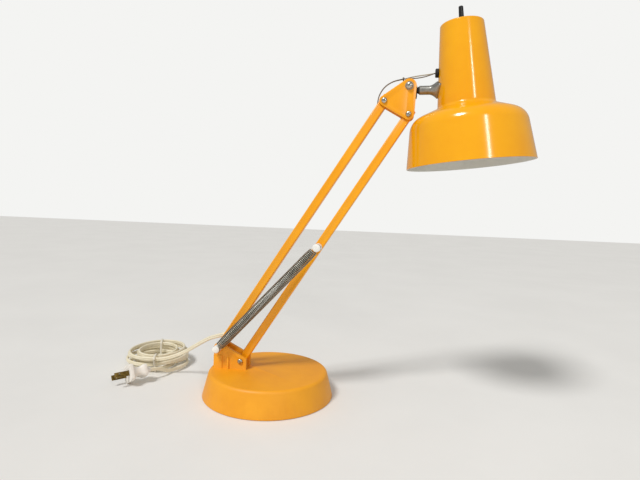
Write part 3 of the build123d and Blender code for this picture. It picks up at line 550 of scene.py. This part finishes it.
# Two round cores side by side, the section of a flat twin cord
def twinSection(name, lobeRadius, lobeSpread, steps):
    curve = bpy.data.curves.new(name, "CURVE")
    spline = curve.splines.new("POLY")
    places = []
    sweep = math.pi - math.acos(lobeSpread / lobeRadius)
    for side in (1, -1):
        for step in range(steps + 1):
            angle = -sweep + sweep * 2 * step / steps
            outward = side * lobeSpread + side * lobeRadius * math.cos(angle)
            places.append((side * lobeRadius * math.sin(angle), outward))
    spline.points.add(len(places) - 1)
    for point, place in zip(spline.points, places):
        point.co = (place[0] * mm, place[1] * mm, 0, 1)
    spline.use_cyclic_u = True
    holder = bpy.data.objects.new(name, curve)
    scene.collection.objects.link(holder)
    return holder


cordSection = twinSection("cordSection", cord["lobeRadius"], cord["lobeSpread"], cord["lobeSteps"])
mainsCord = wireMesh("mainsCord", cordLine, section=cordSection)
bpy.data.objects.remove(cordSection)
mainsCord.data.materials.append(creamVinyl)
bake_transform(mainsCord)
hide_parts("cord_lead", "cord_coil", "cord_tail")

# Plug: moulded body with soft corners, two blades with their edges broken
plug = {"bodyEase": 0.9, "bladeEase": 0.25}
plugBody = dress(easedCopy("plugBody", "plug_body", plug["bodyEase"]), paleVinyl, "plug_body")
plugBlades = dress(easedCopy("plugBlades", "plug_blades", plug["bladeEase"]), agedBrass, "plug_blades")

# Ties: flat paper-covered wire drawn round all the strands at two places
ties = {
    "angles": (-72.0, 112.0),
    "thick": 0.9,
    "wide": 3.0,
    "gap": 0.5,
    "reach": 3.0,
    "least": 15.0,
    "most": 53.5,
    "steps": 48,
}
tieLoops = []
coilMiddle = Vector((*cord["centre"], 0)) * mm
for tieAngle in ties["angles"]:
    outward = Vector((math.cos(math.radians(tieAngle)), math.sin(math.radians(tieAngle)), 0))
    around = Vector((-outward.y, outward.x, 0))
    strands = [
        Vector(((place - coilMiddle).dot(outward), place.z)) for place in cordLine
        if abs((place - coilMiddle).dot(around)) < ties["reach"] * mm
        and ties["least"] < (place - coilMiddle).dot(outward) / mm < ties["most"]
    ]
    room = (cord["radius"] + ties["gap"] + ties["thick"] / 2) * mm
    loop = []
    for step in range(ties["steps"]):
        angle = math.tau * step / ties["steps"]
        heading = Vector((math.cos(angle), math.sin(angle)))
        reach, height = max(strands, key=heading.dot) + heading * room
        loop.append(coilMiddle + outward * reach + Vector((0, 0, height)))
    band = wireMesh("cordTie", loop, ties["thick"] / 2 * mm, closed=True)
    widen = ties["wide"] / ties["thick"] - 1
    for vertex in band.data.vertices:
        vertex.co += around * (vertex.co - coilMiddle).dot(around) * widen
    tieLoops.append(band)
cordTies = dress(joined("cordTies", tieLoops), tiePaper, "cord_ties")

# Balance spring: an eye round each spool, close turns between, narrowed at both ends
spring = {
    "wire": 1.5,
    "diameter": 11.6,
    "endDiameter": 10.4,
    "turns": 79.5,
    "taperTurns": 4.0,
    "leadIn": 6.0,
    "eyeRadius": 4.1,
    "eyeFrom": 90.0,
    "eyeTo": 330.0,
    "eyeSteps": 24,
    "bridgeSteps": 10,
    "turnPoints": 24,
    "sideways": 16.8,
}
springFoot = rearLow + nearSide * spring["sideways"] * mm
springHead = Vector((springTop.x, springFoot.y, springTop.z))
springAxis = (springHead - springFoot).normalized()
springUp = springAxis.cross(nearSide) * -1
springLength = (springHead - springFoot).length / mm
turnRadius = (spring["diameter"] - spring["wire"]) / 2
endRadius = (spring["endDiameter"] - spring["wire"]) / 2
pitchLength = (springLength - 2 * spring["leadIn"]) / spring["turns"]


def windingPoint(turns):
    taper = min(min(turns, spring["turns"] - turns) / spring["taperTurns"], 1)
    radius = endRadius + (turnRadius - endRadius) * taper
    angle = math.tau * turns
    return (spring["leadIn"] + pitchLength * turns, radius * math.cos(angle), radius * math.sin(angle))


eyeLine = []
eyeSweep = spring["eyeTo"] - spring["eyeFrom"]
for step in range(spring["eyeSteps"] + 1):
    angle = math.radians(spring["eyeFrom"] + eyeSweep * step / spring["eyeSteps"])
    eyeLine.append((spring["eyeRadius"] * math.cos(angle), spring["eyeRadius"] * math.sin(angle), 0))
windingSteps = int(spring["turns"] * spring["turnPoints"])
winding = [windingPoint(step / spring["turnPoints"]) for step in range(windingSteps + 1)]


# Smooth bridge from the end of one run to the start of the next
def bridge(before, after):
    start, end = Vector(before[-1]), Vector(after[0])
    reach = (end - start).length
    out = (start - Vector(before[-2])).normalized() * reach
    into = (Vector(after[1]) - end).normalized() * reach
    line = []
    for step in range(1, spring["bridgeSteps"]):
        t = step / spring["bridgeSteps"]
        line.append(
            start * (2 * t**3 - 3 * t**2 + 1) + out * (t**3 - 2 * t**2 + t)
            + end * (3 * t**2 - 2 * t**3) + into * (t**3 - t**2)
        )
    return line


farEye = [(springLength - x, -y, z) for x, y, z in reversed(eyeLine)]
springLine = eyeLine + bridge(eyeLine, winding) + winding + bridge(winding, farEye) + farEye
springPlaces = [
    springFoot + (springAxis * along + springUp * up + nearSide * out) * mm
    for along, up, out in springLine
]
balanceSpring = wireMesh("balanceSpring", springPlaces, spring["wire"] / 2 * mm)
balanceSpring.data.materials.append(springSteel)
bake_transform(balanceSpring)
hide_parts("counter_spring")
print("spring wound")

# Shade: one spun sheet, enamelled outside and white inside
shade = {
    "rimRadius": 70.8,
    "sideHeight": 53.0,
    "shoulderRadius": 63.1,
    "neckFootRadius": 31.87,
    "neckFootHeight": 65.0,
    "neckTopRadius": 23.7,
    "height": 156.7,
    "wall": 0.8,
    "rounds": (18.5, 5.0, 1.6),
    "roundSteps": 14,
    "rimSteps": 6,
    "holeRadius": 5.05,
    "knobPlace": 160.0,
    "liningLean": 0.5,
    "liningFacing": -0.2,
    "liningFrom": 0.4,
    "steps": 144,
    "smooth": 50,
}
shadeAxis = jointAxis("switch_turn")
shadeOrigin = jointPlace("switch_turn") - shadeAxis * shade["knobPlace"] * mm
skin = roundedOutline(
    (
        (shade["rimRadius"], 0),
        (shade["shoulderRadius"], shade["sideHeight"]),
        (shade["neckFootRadius"], shade["neckFootHeight"]),
        (shade["neckTopRadius"], shade["height"]),
        (shade["holeRadius"], shade["height"]),
    ),
    shade["rounds"],
    shade["roundSteps"],
)
lining = []
for index, point in enumerate(skin):
    before = skin[max(index - 1, 0)]
    after = skin[min(index + 1, len(skin) - 1)]
    along = (after - before).normalized()
    lining.append(point + Vector((-along.y, along.x)) * shade["wall"])
rim = []
rimMiddle = (skin[0] + lining[0]) / 2
for step in range(1, shade["rimSteps"]):
    turn = Matrix.Rotation(-math.pi * step / shade["rimSteps"], 2)
    rim.append(rimMiddle + turn @ (lining[0] - rimMiddle))
lining.reverse()
shadeProfile = skin + lining + rim + [skin[0]]
shadeShell = turned("shadeShell", shadeProfile, shadeOrigin, shadeAxis, shade["steps"], shade["smooth"])
dress(shadeShell, shadeEnamel, "shade")
# The inside faces take the white enamel greyed as painted shade
shadeShell.data.materials.append(liningEnamelGreyedAsShade)
for face in shadeShell.data.polygons:
    middle = Vector(face.center) - shadeOrigin
    height = middle.dot(shadeAxis)
    outward = (middle - shadeAxis * height).normalized()
    facing = face.normal.dot(outward + shadeAxis * shade["liningLean"])
    if facing < shade["liningFacing"] and height > shade["liningFrom"] * mm:
        face.material_index = 1
print("shade spun")

# Thin twin lead: inside the rear arm, out of its slot, over the head plates and into the neck's grommet
lead = {
    "exitBack": 9.4,
    "exitAngle": 32.0,
    "exitRun": 5.0,
    "over": (
        (-32.6, -6.5), (-27.5, 0.8), (-19.5, 6.0), (-11.5, 8.2), (-1.5, 9.9), (11.5, 11.6), (20.5, 13.2),
    ),
    "tie": -6.5,
    "stem": 9.0,
    "grommetPlace": 105.7,
    "grommetOut": 3.5,
    "strand": 0.62,
    "bow": 1.3,
    "lineSteps": 8,
    "insideSteps": 12,
}
stemAxis = jointAxis("head_swivel")
shadeAcross = Vector((shadeAxis.z, 0, -shadeAxis.x))


def neckRadiusAt(place):
    share = (place - shade["neckFootHeight"]) / (shade["height"] - shade["neckFootHeight"])
    return shade["neckFootRadius"] + (shade["neckTopRadius"] - shade["neckFootRadius"]) * share


grommetRadius = neckRadiusAt(lead["grommetPlace"])
grommetMouth = shadeOrigin + (
    shadeAxis * lead["grommetPlace"] - shadeAcross * grommetRadius - stemAxis * lead["grommetOut"]
) * mm
slotAngle = math.atan2(armAxis.z, armAxis.x) + math.radians(lead["exitAngle"])
slotHeading = Vector((math.cos(slotAngle), 0, math.sin(slotAngle)))
leadInside = rearTop - armAxis * (lead["exitBack"] + cord["armHalf"]) * mm
leadSkin = leadInside + slotHeading * (cord["armHalf"] * mm / slotHeading.dot(armBack))
leadRoute = [leadSkin, leadSkin + slotHeading * lead["exitRun"] * mm]
leadRoute += [tiltBolt + Vector((along, 0, rise)) * mm for along, rise in lead["over"]]
leadRoute.append(grommetMouth)
leadLine = nurbsPoints(leadRoute, lead["lineSteps"])


# Index of the lead's point that lies this far beyond the tilt bolt, in millimetres
def leadIndexAt(along):
    return min(range(len(leadLine)), key=lambda n: abs(leadLine[n].x - tiltBolt.x - along * mm))


tieIndex = leadIndexAt(lead["tie"])
stemIndex = leadIndexAt(lead["stem"])


# One strand beside the lead's middle line; past the tie one strand bows up and the other down
def strandPlaces(line, side):
    places = []
    for place in line:
        share = (place.x - leadLine[tieIndex].x) / (grommetMouth.x - leadLine[tieIndex].x)
        bow = lead["bow"] * math.sin(math.pi * share) if share > 0 else 0
        places.append(place + Vector((0, side * lead["strand"], side * bow)) * mm)
    return places


def twinStrands(name, line):
    strands = []
    # The far, upper strand is beige; the near, lower one takes the brown copy, painted shade
    for side, finish in ((1, paleLeadVinyl), (-1, shadedLeadVinyl)):
        strand = wireMesh(name, strandPlaces(line, side), lead["strand"] * mm)
        strand.data.materials.append(finish)
        strands.append(strand)
    return joined(name, strands)


armLead = twinStrands("armLead", nurbsPoints([cordInside, leadInside, leadSkin], lead["insideSteps"]))
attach(armLead, "rear_arm")
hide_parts("arm_lead")
headRuns = (
    ("leadOverArm", leadLine[:tieIndex + 1], "rear_arm", "head"),
    ("leadOverPlates", leadLine[tieIndex:stemIndex + 1], "head", "tilt_block"),
    ("leadToNeck", leadLine[stemIndex:], "tilt_block", "shade"),
)
for name, line, bodyBefore, bodyAfter in headRuns:
    run = twinStrands(name, line)
    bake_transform(run)
    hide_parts("head_lead")

# Tie on the thin lead: a few turns of wire round both strands
tieWrap = {"wire": 0.4, "radius": 1.65, "turns": 3.0, "length": 1.5, "turnPoints": 16}
tieHeading = (leadLine[tieIndex + 1] - leadLine[tieIndex - 1]).normalized()
tieUp = tieHeading.cross(nearSide)
wrapPlaces = []
wrapSteps = int(tieWrap["turns"] * tieWrap["turnPoints"])
for step in range(wrapSteps + 1):
    angle = math.tau * tieWrap["turns"] * step / wrapSteps
    along = tieWrap["length"] * (step / wrapSteps - 1 / 2)
    ring = nearSide * math.cos(angle) + tieUp * math.sin(angle)
    wrapPlaces.append(leadLine[tieIndex] + (tieHeading * along + ring * tieWrap["radius"]) * mm)
# The tie wears the lead's brown copy, painted shade
dress(wireMesh("leadTie", wrapPlaces, tieWrap["wire"] * mm), shadedLeadVinyl, "lead_tie")
print("leads run")

# Knuckle: a bored round stem that flares into a kite-shaped saddle lying on the neck
knuckle = {
    "radius": 5.0,
    "bore": 3.15,
    "boreDepth": 11.1,
    "start": 11.2,
    "straight": 11.2,
    "reach": 32.3,
    "seatPlace": 87.0,
    "flangeShare": 0.16,
    "flarePower": 1.7,
    "pad": ((0, 10.2), (-12.4, 4.0), (0, -10.2), (12.4, 4.0)),
    "padSharpness": 12,
    "padRings": (0.75, 0.5, 0.25, 0),
    "ease": 0.4,
    "rings": 18,
    "least": 0.001,
    "steps": 64,
    "smooth": 40,
}


# Distance from the stem's middle to the pad's edge, with the pad's corners rounded
def padEdge(heading):
    corners = [Vector(corner) for corner in knuckle["pad"]]
    total = 0
    for corner, following in zip(corners, corners[1:] + corners[:1]):
        side = following - corner
        outward = Vector((-side.y, side.x))
        lean = outward.dot(heading) / outward.dot(corner)
        total += max(lean, 0) ** knuckle["padSharpness"]
    return total ** (-1 / knuckle["padSharpness"])


stemFoot = jointPlace("head_swivel")
stemUp = Vector((-stemAxis.z, 0, stemAxis.x))
stemFar = Vector((0, 1, 0))
flareStart = knuckle["start"] + knuckle["straight"]
flareLength = knuckle["reach"] - flareStart
boreEnd = knuckle["start"] + knuckle["boreDepth"]
stemProfile = [
    (0, boreEnd),
    (knuckle["bore"], boreEnd),
    (knuckle["bore"], knuckle["start"]),
    (knuckle["radius"] - knuckle["ease"], knuckle["start"]),
    (knuckle["radius"], knuckle["start"] + knuckle["ease"]),
]
stemProfile += [
    (knuckle["radius"], flareStart + flareLength * ring / knuckle["rings"])
    for ring in range(knuckle["rings"] + 1)
]
stemProfile += [(knuckle["radius"] * share, knuckle["reach"]) for share in knuckle["padRings"]]
knuckleCasting = turned(
    "knuckleCasting", stemProfile, stemFoot, stemAxis, knuckle["steps"], knuckle["smooth"]
)
seatRadius = neckRadiusAt(knuckle["seatPlace"])
for vertex in knuckleCasting.data.vertices:
    offset = (vertex.co - stemFoot) / mm
    share = (offset.dot(stemAxis) - flareStart) / flareLength
    section = Vector((offset.dot(stemFar), offset.dot(stemUp)))
    if share > knuckle["least"] and section.length > knuckle["least"]:
        flare = min(share / (1 - knuckle["flangeShare"]), 1) ** knuckle["flarePower"]
        heading = section.normalized()
        section *= 1 + (padEdge(heading) / knuckle["radius"] - 1) * flare
        seat = knuckle["reach"] + seatRadius - math.sqrt(seatRadius**2 - section.x**2)
        along = flareStart + (seat - flareStart) * share
        vertex.co = stemFoot + (stemAxis * along + stemFar * section.x + stemUp * section.y) * mm
smoothBy(knuckleCasting, knuckle["smooth"])
dress(knuckleCasting, greyCasting, "knuckle")
print("knuckle cast")

# Screws and bolt: pin, domed head on the near side, cross recess; millimetres.
# The recess's length is a share of the head's radius and its depth a share of the head's height.
screwShape = {
    "tipEase": 0.4,
    "rimEase": 0.15,
    "domeSteps": 10,
    "recessTurns": (45, 135),
    "recessLength": 1.15,
    "recessDepth": 0.55,
    "recessWidth": 0.8,
    "steps": 48,
    "smooth": 40,
}
cheekScrew = {"pin": 2.5, "head": 3.2, "height": 2.6, "rim": 0.9, "face": 10.4, "grip": 25.6}
plateScrew = {"pin": 2.5, "head": 3.2, "height": 2.6, "rim": 0.9, "face": 7.5, "grip": 19.8}
tiltScrew = {"pin": 2.5, "head": 3.8, "height": 3.2, "rim": 1.1, "face": 8.4, "grip": 21.6}


def panScrew(name, pivot, size):
    tip, lip = screwShape["tipEase"], screwShape["rimEase"]
    profile = [(0, -size["grip"]), (size["pin"] - tip, -size["grip"]), (size["pin"], tip - size["grip"])]
    profile += [(size["pin"], 0), (size["head"] - lip, 0), (size["head"], lip)]
    rise = size["height"] - size["rim"]
    profile += domeProfile(size["head"], size["rim"], rise, screwShape["domeSteps"])
    seat = pivot + nearSide * size["face"] * mm
    screw = turned(name, profile, seat, nearSide, screwShape["steps"], screwShape["smooth"])
    crown = Matrix.Translation(seat + nearSide * size["height"] * mm)
    recess = Matrix.Diagonal(
        (
            size["head"] * screwShape["recessLength"] * mm,
            2 * size["height"] * screwShape["recessDepth"] * mm,
            screwShape["recessWidth"] * mm,
            1,
        )
    )
    for turn in screwShape["recessTurns"]:
        deselectAll()
        bpy.ops.mesh.primitive_cube_add(size=1)
        cutter = bpy.context.object
        cutter.data.transform(crown @ Matrix.Rotation(math.radians(turn), 4, "Y") @ recess)
        applyModifier(screw, "BOOLEAN", operation="DIFFERENCE", solver="EXACT", object=cutter)
        bpy.data.objects.remove(cutter)
    smoothBy(screw, screwShape["smooth"])
    return screw


dress(panScrew("frontPivotScrew", frontLow, cheekScrew), zincSteel, "front_pivot_screw")
headScrews = [panScrew("headScrew", pivot, plateScrew) for pivot in (frontTop, rearTop)]
dress(joined("headScrews", headScrews), zincSteel, "head_screws")
dress(panScrew("tiltBolt", tiltBolt, tiltScrew), zincSteel, "tilt_bolt")

# Nylon spools: a sleeve, a groove for the spring's eye and a crowned outer face over a blind bore
spools = {
    "spring_lower_spool": {"name": "springLowerSpool", "pivot": rearLow, "back": 10.5, "radius": 4.3},
    "spring_upper_spool": {"name": "springUpperSpool", "pivot": springTop, "back": 5.05, "radius": 4.7},
}
spoolShape = {
    "core": 3.1,
    "groove": 3.2,
    "face": 2.9,
    "crown": 1.0,
    "bore": 2.6,
    "ease": 0.35,
    "dome": 0.9,
    "domeSteps": 8,
    "steps": 64,
    "smooth": 40,
}
for node, size in spools.items():
    grooveFoot = spring["sideways"] - spoolShape["groove"] / 2
    grooveTop = grooveFoot + spoolShape["groove"]
    front = grooveTop + spoolShape["face"]
    radius = size["radius"]
    ease = spoolShape["ease"]
    profile = [
        (0, front - spoolShape["crown"]), (spoolShape["bore"], front - spoolShape["crown"]),
        (spoolShape["bore"], size["back"]), (radius - ease, size["back"]), (radius, size["back"] + ease),
        (radius, grooveFoot - ease), (radius - ease, grooveFoot), (spoolShape["core"], grooveFoot),
        (spoolShape["core"], grooveTop), (radius - ease, grooveTop), (radius, grooveTop + ease),
    ]
    profile += domeProfile(radius, front - spoolShape["dome"], spoolShape["dome"], spoolShape["domeSteps"])
    hub = Vector((size["pivot"].x, 0, size["pivot"].z))
    spool = turned(size["name"], profile, hub, nearSide, spoolShape["steps"], spoolShape["smooth"])
    dress(spool, whiteNylon, node)
print("screws and spools turned")

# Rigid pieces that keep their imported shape, each with its corners eased by so many millimetres
eased = {
    "base_shell": ("baseShell", basePlastic, 0.7),
    "front_arm": ("frontArm", frameEnamel, 0.15),
    "rear_arm": ("rearArm", frameEnamel, 0.15),
    "near_head_plate": ("nearHeadPlate", frameEnamel, 0.35),
    "far_head_plate": ("farHeadPlate", frameEnamel, 0.35),
    "tilt_block": ("tiltBlock", blackSteel, 0.4),
    "front_pivot_nut": ("frontPivotNut", zincSteel, 0.3),
    "rear_pivot_nut": ("rearPivotNut", zincSteel, 0.3),
    "head_nuts": ("headNuts", zincSteel, 0.3),
    "tilt_nut": ("tiltNut", zincSteel, 0.3),
    "ring_nut": ("ringNut", zincSteel, 0.3),
    "rear_pivot_pin": ("rearPivotPin", zincSteel, 0.3),
}
for node, (name, finish, ease) in eased.items():
    dress(easedCopy(name, node, ease), finish, node)
print("rigid pieces eased")

# Nodes that stay as packed, with their real finishes
kept = {
    "base_weight": castIron, "base_screws": zincSteel, "base_pad": feltPad, "spring_stud": zincSteel,
    "tilt_washers": zincSteel, "knuckle_screw": zincSteel, "switch_nipple": zincSteel,
    "front_arm_bushes": whiteNylon, "rear_arm_bushes": whiteNylon, "switch_knob": blackPhenolic,
    "swivel_washer": blackPhenolic, "lampholder": blackPhenolic, "neck_grommet": blackRubber,
    "cord_bush": creamVinyl, "screw_shell": agedBrass, "centre_contact": agedBrass,
}
for node, finish in kept.items():
    nodes[node].data.materials.clear()
    nodes[node].data.materials.append(finish)
print("kept nodes finished")

# Studio, in metres: pale floor, even sky, a soft sun above the left and a narrow lit window on the right.
# The sky looks brighter to the camera than the light it gives.
studio = {
    "floor": {"size": 8, "colours": ("#E6E4E0", "#E9E7E3"), "roughness": (0.6, 0.7)},
    "floorPattern": {"cloud": 200, "grain": 5, "bump": 0.02},
    "sky": {"colour": "#F4F4F2", "strength": 0.44, "seen": 1.0},
    "sun": {"place": (-0.42, -0.62, 1.0), "aim": (0, 0, 0), "spread": 14, "power": 2.0},
    "window": {"place": (0.8, -1.28, 0.95), "aim": (0.2, 0, 0.35), "size": (0.1, 0.6), "power": 4.5},
}
deselectAll()
bpy.ops.mesh.primitive_plane_add(size=studio["floor"]["size"])
floor = bpy.context.object
floor.name = "floor"
floorPaint = surface(
    "paleStudioFloor", studio["floor"]["colours"], studio["floor"]["roughness"], **studio["floorPattern"]
)
floor.data.materials.append(floorPaint)
world = bpy.data.worlds.new("studio")
world.use_nodes = True
scene.world = world
backdrop = world.node_tree.nodes["Background"]
backdrop.inputs["Color"].default_value = hexColour(studio["sky"]["colour"])
ray = addNode(world.node_tree, "ShaderNodeLightPath")
bright = addNode(
    world.node_tree, "ShaderNodeMapRange",
    {"To Min": studio["sky"]["strength"], "To Max": studio["sky"]["seen"]},
    {"Value": ray.outputs["Is Camera Ray"]},
)
world.node_tree.links.new(bright.outputs["Result"], backdrop.inputs["Strength"])


def addLamp(name, kind, place, aim, power):
    data = bpy.data.lights.new(name, kind)
    data.energy = power
    holder = bpy.data.objects.new(name, data)
    holder.location = place
    holder.rotation_euler = (Vector(aim) - Vector(place)).to_track_quat("-Z", "Y").to_euler()
    scene.collection.objects.link(holder)
    return data


sun = addLamp("sun", "SUN", studio["sun"]["place"], studio["sun"]["aim"], studio["sun"]["power"])
sun.angle = math.radians(studio["sun"]["spread"])
opening = studio["window"]
window = addLamp("window", "AREA", opening["place"], opening["aim"], opening["power"])
window.shape = "RECTANGLE"
window.size, window.size_y = opening["size"]
scene.view_settings.view_transform = "Standard"
print("studio lit")
